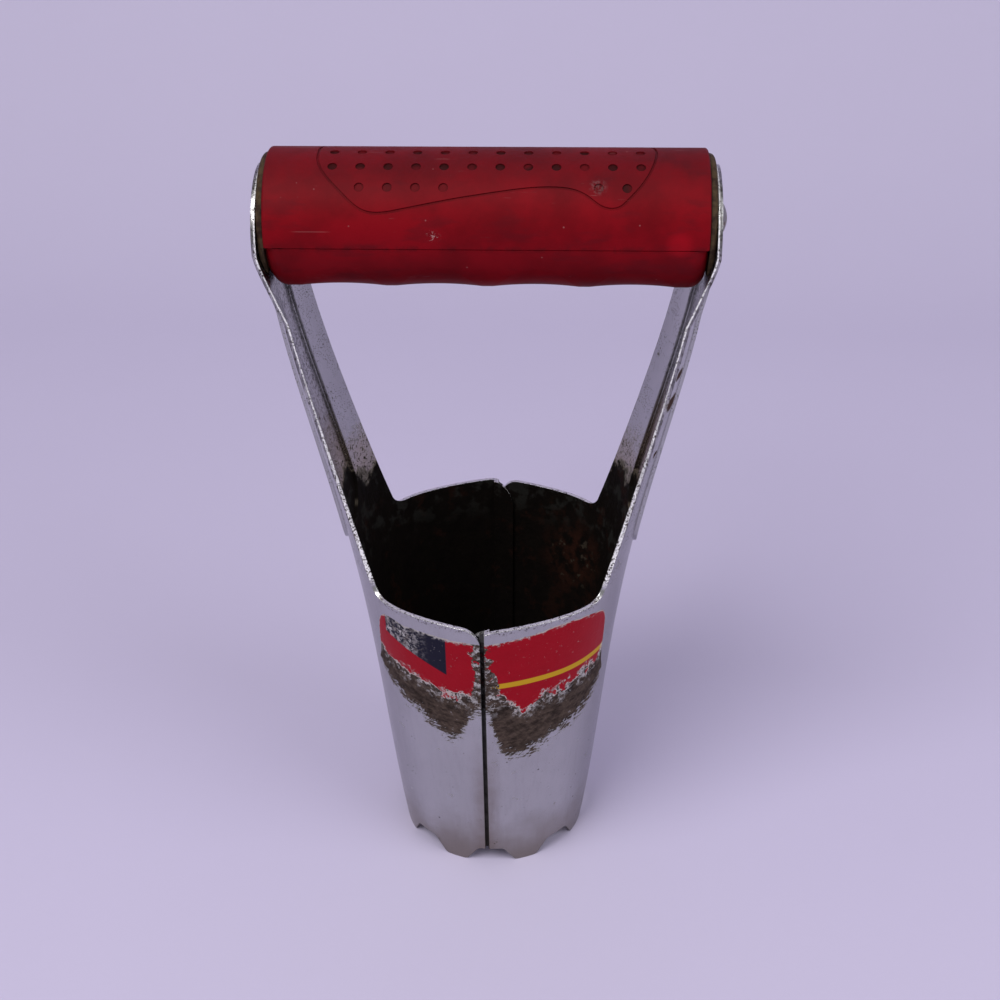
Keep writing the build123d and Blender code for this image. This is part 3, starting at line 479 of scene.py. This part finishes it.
dust = plastic.times(plastic.rise(up, 8.0, 19.0), plastic.spread(grime, 0.15, 0.75))
skin = plastic.blend(dust, skin, DUST)
to_split = plastic.size(plastic.less(up, plastic.times(y, SPLIT_SLOPE)))
split_dirt = plastic.times(plastic.rise(to_split, 1.6, 0.2), plastic.rise(grime, 0.46, 0.60))
skin = plastic.blend(plastic.times(split_dirt, 0.35), skin, SPLIT_DIRT)
kept_dirt = plastic.spread(plastic.rise(plastic.noise(11, 2), 0.42, 0.58), 0.25, 0.90)
pit_floor = plastic.rise(from_axle, GRIP_RADIUS - 0.42, GRIP_RADIUS - 0.45)
kept_dirt = plastic.times(kept_dirt, plastic.spread(pit_floor, 0.30, 1.0))
skin = plastic.blend(plastic.times(sunk, kept_dirt), skin, SUNK_DIRT)
skin = plastic.blend(plastic.times(plastic.most(scratch, speck), 0.5), skin, SCRATCH)
skin = plastic.blend(plastic.times(scuff, 0.30), skin, SCUFF)


def near(centre, reach, core=0.3):
    """1 close to a place on the grip in millimetres, fading to 0 at reach."""
    return plastic.rise(plastic.away(centre), reach, reach * core)


# Painted highlight: a lighter red glow on the grip's right end
skin = plastic.blend(plastic.times(near(HIGHLIGHT_PLACE, HIGHLIGHT_REACH), 0.45), skin, HIGHLIGHT_RED)
nick = plastic.times(near(NICK_PLACE, NICK_REACH), plastic.rise(plastic.noise(0.9, 4, 0.8), 0.56, 0.62))
skin = plastic.blend(plastic.times(nick, 0.8), skin, NICK)
chafe = plastic.times(near(CHAFE_PLACE, CHAFE_REACH), plastic.rise(plastic.noise(1.0, 4, 0.75), 0.44, 0.60))
skin = plastic.blend(plastic.times(chafe, 0.55), skin, CHAFE)
drag = plastic.rise(plastic.size(plastic.add(z, -DRAG_Z)), 0.22, 0.05)
drag = plastic.times(drag, plastic.rise(y, -15.0, -17.0),
                     plastic.rise(x, DRAG_LEFT - 1.5, DRAG_LEFT + 1.5),
                     plastic.rise(x, DRAG_RIGHT + 1.5, DRAG_RIGHT - 1.5))
skin = plastic.blend(plastic.times(drag, 0.3), skin, DRAG)
rough = plastic.spread(grime, 0.46, 0.62)
height = plastic.times(plastic.most(scratch, scuff), -0.4)
height = plastic.add(plastic.times(plastic.noise(0.5, 3), 0.2), height)
plastic.surface(skin, 0.0, rough, height, GRIP_BUMP, edge=GRIP_EDGE, Specular_IOR_Level=0.06)
dress("palm_grip", plastic)
dress("finger_grip", plastic)

# Split fill: dust and grip wear packed into the front split, a low uneven bead that clings to the
# palm half's edge, so that the closed grip shows only a faint line.
SPLIT_ANGLE, BEAD_ANGLE, BEAD_HALF, BEAD_FOOT = 187.02, 0.74, 55.0, 18.2
BEAD_STEPS, CROWN_STEPS = 220, 4
BEAD_SUNK, BEAD_CROWN, BEAD_WAVE, WAVE_RATE = 0.10, 0.10, 0.06, 0.35


def tube_mesh(name, rings):
    """A closed skin over rings of equally many points, in millimetres."""
    around = len(rings[0])
    points = [Vector(point) * MM for ring in rings for point in ring]
    faces = []
    for i in range(len(rings) - 1):
        for j in range(around):
            k = (j + 1) % around
            faces.append((i * around + j, i * around + k, (i + 1) * around + k, (i + 1) * around + j))
    last = (len(rings) - 1) * around
    faces.append(tuple(range(around - 1, -1, -1)))
    faces.append(tuple(range(last, last + around)))
    mesh = bpy.data.meshes.new(name)
    mesh.from_pydata(points, [], faces)
    sides = len(faces) - 2
    mesh.polygons.foreach_set("use_smooth", [True] * sides + [False] * 2)
    piece = bpy.data.objects.new(name, mesh)
    bpy.context.scene.collection.objects.link(piece)
    return piece


def on_grip(degrees, radius, along_grip):
    turn = radians(degrees)
    return Vector((along_grip, radius * cos(turn), AXLE_Z + radius * sin(turn)))


rings = []
for step in range(BEAD_STEPS + 1):
    place = -BEAD_HALF + 2 * BEAD_HALF * step / BEAD_STEPS
    top = GRIP_RADIUS - BEAD_SUNK + BEAD_WAVE * noise.noise(Vector((place * WAVE_RATE, 0.0, 0.0)))
    ring = [on_grip(SPLIT_ANGLE, BEAD_FOOT, place)]
    for part in range(CROWN_STEPS + 1):
        share = part / CROWN_STEPS
        crown = top - BEAD_CROWN * (2 * share - 1) ** 2
        ring.append(on_grip(SPLIT_ANGLE + BEAD_ANGLE * share, crown, place))
    ring.append(on_grip(SPLIT_ANGLE + BEAD_ANGLE, BEAD_FOOT, place))
    rings.append(ring)
bead = tube_mesh("split_fill", rings)
bead.data.materials.append(plastic.material)
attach(bead, "fixed_half")

# End bushes: olive plastic mouldings between the grip's ends and the arms' eyes. Each has a barrel in
# the grip's end and lets the grip's lugs through to the arm. They are dull, and dark with handling.
SOILED_OLIVE, CLEAR_OLIVE = (0.020, 0.010, 0.007, 1), (0.066, 0.044, 0.022, 1)
OLIVE_BUMP, OLIVE_EDGE = 0.05, 0.2
olive = Paint("soiled_olive_plastic")
grime = olive.noise(3.2, 5, 0.7)
skin = olive.blend(olive.rise(grime, 0.36, 0.62), SOILED_OLIVE, CLEAR_OLIVE)
olive.surface(skin, 0.0, olive.spread(grime, 0.50, 0.72), olive.noise(0.6, 3), OLIVE_BUMP,
              edge=OLIVE_EDGE, Specular_IOR_Level=0.1)
dress("left_end_bush", olive)
dress("right_end_bush", olive)

# Axle: one steel rod through the grip and both eyes, riveted over a washer at each end. The steel is
# dull and a little rusty.
DULL_STEEL, CLEAR_STEEL = (0.25, 0.245, 0.24, 1), (0.42, 0.415, 0.41, 1)
RUSTY_STEEL = (0.085, 0.038, 0.018, 1)
STEEL_BUMP, STEEL_EDGE = 0.06, 0.15
steel = Paint("dull_rivet_steel")
bloom = steel.noise(2.4, 5, 0.65)
skin = steel.blend(steel.noise(0.9, 3), DULL_STEEL, CLEAR_STEEL)
rusty = steel.rise(bloom, 0.56, 0.68)
skin = steel.blend(rusty, skin, RUSTY_STEEL)
steel.surface(skin, steel.spread(rusty, 1.0, 0.15), steel.spread(bloom, 0.30, 0.62), bloom, STEEL_BUMP,
              edge=STEEL_EDGE)
for name in ("axle", "left_washer", "right_washer"):
    dress(name, steel)

# Return spring: five turns of drawn steel wire round the axle, hidden in the grip. One leg bears on
# the palm half and the other on the finger half, and the coil winds up between them.
WIRE_RADIUS, COIL_RADIUS, COIL_PITCH = 0.8, 6.0, 2.15
COIL_START, COIL_SWEEP, LEG_LENGTH = 163.0, 1844.0, 12.0
COIL_STEPS, WIRE_SIDES = 240, 16
CUT_END, CUT_SHARE = 0.2, 0.7
DARK_WIRE, BRIGHT_WIRE, WIRE_BUMP = (0.12, 0.115, 0.11, 1), (0.30, 0.295, 0.29, 1), 0.02
coil_half = COIL_PITCH * COIL_SWEEP / 360 / 2
wire_line = []
for step in range(COIL_STEPS + 1):
    turn = COIL_SWEEP * step / COIL_STEPS
    point = on_grip(COIL_START + turn, COIL_RADIUS, COIL_PITCH * turn / 360 - coil_half)
    inward = Vector((0.0, 0.0, AXLE_Z)) - point
    inward.x = 0.0
    inward.normalize()
    around = Vector((1.0, 0.0, 0.0)).cross(-inward) * COIL_RADIUS * 2 * pi
    heading = (around + Vector((COIL_PITCH, 0.0, 0.0))).normalized()
    wire_line.append((point, heading, inward, WIRE_RADIUS))
point, heading, inward = wire_line[0][:3]
first_leg = [(point - heading * LEG_LENGTH, heading, inward, WIRE_RADIUS * CUT_SHARE),
             (point - heading * (LEG_LENGTH - CUT_END), heading, inward, WIRE_RADIUS)]
point, heading, inward = wire_line[-1][:3]
last_leg = [(point + heading * (LEG_LENGTH - CUT_END), heading, inward, WIRE_RADIUS),
            (point + heading * LEG_LENGTH, heading, inward, WIRE_RADIUS * CUT_SHARE)]
rings = []
for point, heading, inward, radius in first_leg + wire_line + last_leg:
    sideways = heading.cross(inward)
    ring = []
    for side in range(WIRE_SIDES):
        turn = 2 * pi * side / WIRE_SIDES
        ring.append(point + inward * (radius * cos(turn)) + sideways * (radius * sin(turn)))
    rings.append(ring)
spring = tube_mesh("spring_wire", rings)
wire = Paint("oiled_spring_wire")
draw = wire.noise(0.3, 3, 0.6, stretch=(0.2, 1.0, 1.0))
skin = wire.blend(draw, DARK_WIRE, BRIGHT_WIRE)
wire.surface(skin, 1.0, wire.spread(draw, 0.25, 0.45), draw, WIRE_BUMP)
spring.data.materials.append(wire.material)
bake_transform(spring)
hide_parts("return_spring")
dress("return_spring", wire)

# Stage: a pale lilac sweep that is the floor and the background in one, in a soft even room, with a
# key light from the upper left and a weaker fill from the right. Metres, not millimetres.
FLOOR_HALF, FLOOR_FRONT, WALL_Y, COVE, WALL_TOP = 6.0, -6.0, 0.75, 0.35, 2.4
COVE_STEPS = 16
LILAC, PALE_LILAC = (0.520, 0.478, 0.640, 1), (0.530, 0.488, 0.650, 1)
PAPER_ROUGHNESS, PAPER_BUMP = 0.75, 0.02
ROOM_COLOUR, ROOM_STRENGTH = (0.90, 0.885, 0.93, 1), 0.5
LIGHT_AIM = Vector((0, 0, 0.12))
profile = [(FLOOR_FRONT, 0.0)]
for step in range(COVE_STEPS + 1):
    turn = Matrix.Rotation(radians(90 * step / COVE_STEPS), 2) @ Vector((0, -COVE))
    profile.append((WALL_Y - COVE + turn.x, COVE + turn.y))
profile.append((WALL_Y, WALL_TOP))
corners = [(side, y, z) for y, z in profile for side in (-FLOOR_HALF, FLOOR_HALF)]
faces = [(2 * i, 2 * i + 1, 2 * i + 3, 2 * i + 2) for i in range(len(profile) - 1)]
sweep_mesh = bpy.data.meshes.new("sweep")
sweep_mesh.from_pydata(corners, [], faces)
sweep_mesh.polygons.foreach_set("use_smooth", [True] * len(faces))
sweep = bpy.data.objects.new("sweep", sweep_mesh)
bpy.context.scene.collection.objects.link(sweep)
paper = Paint("lilac_sweep")
tint = paper.blend(paper.noise(60, 3), LILAC, PALE_LILAC)
paper.surface(tint, 0.0, PAPER_ROUGHNESS, paper.noise(1.5, 2), PAPER_BUMP)
sweep_mesh.materials.append(paper.material)

world = bpy.data.worlds.new("soft_room")
world.use_nodes = True
room = world.node_tree.nodes["Background"].inputs
room["Color"].default_value = ROOM_COLOUR
room["Strength"].default_value = ROOM_STRENGTH
bpy.context.scene.world = world


def soft_light(name, place, size, power, colour):
    light = bpy.data.lights.new(name, "AREA")
    light.shape = "DISK"
    light.size = size
    light.energy = power
    light.color = colour
    lamp = bpy.data.objects.new(name, light)
    lamp.location = place
    aim = LIGHT_AIM - Vector(place)
    lamp.rotation_euler = aim.to_track_quat("-Z", "Y").to_euler()
    bpy.context.scene.collection.objects.link(lamp)


soft_light("key", place=(-0.5, -0.7, 1.25), size=0.9, power=13.0, colour=(1.0, 0.98, 0.97))
soft_light("fill", place=(0.9, -0.6, 0.9), size=0.9, power=6.0, colour=(0.97, 0.97, 1.0))

# Camera: as the photograph was taken, from the front and about thirty degrees above. The focal
# length is in pixels of a picture that is IMAGE_PIXELS wide.
CAMERA_PLACE = Vector((18.95, -412.4, 362.2)) * MM
CAMERA_AIM = Vector((2.67, 0.1, 120.9)) * MM
CAMERA_ROLL = -0.45
FOCAL_PIXELS, IMAGE_PIXELS = 1550, 1000
camera = bpy.data.cameras.new("camera")
camera.sensor_width = 36.0
camera.lens = camera.sensor_width * FOCAL_PIXELS / IMAGE_PIXELS
camera.clip_start = 0.01
viewer = bpy.data.objects.new("camera", camera)
look = (CAMERA_AIM - CAMERA_PLACE).to_track_quat("-Z", "Y").to_matrix()
turned = look @ Matrix.Rotation(radians(CAMERA_ROLL), 3, "Z")
viewer.matrix_world = Matrix.Translation(CAMERA_PLACE) @ turned.to_4x4()
bpy.context.scene.collection.objects.link(viewer)
bpy.context.scene.camera = viewer
bpy.context.scene.view_settings.view_transform = "Standard"
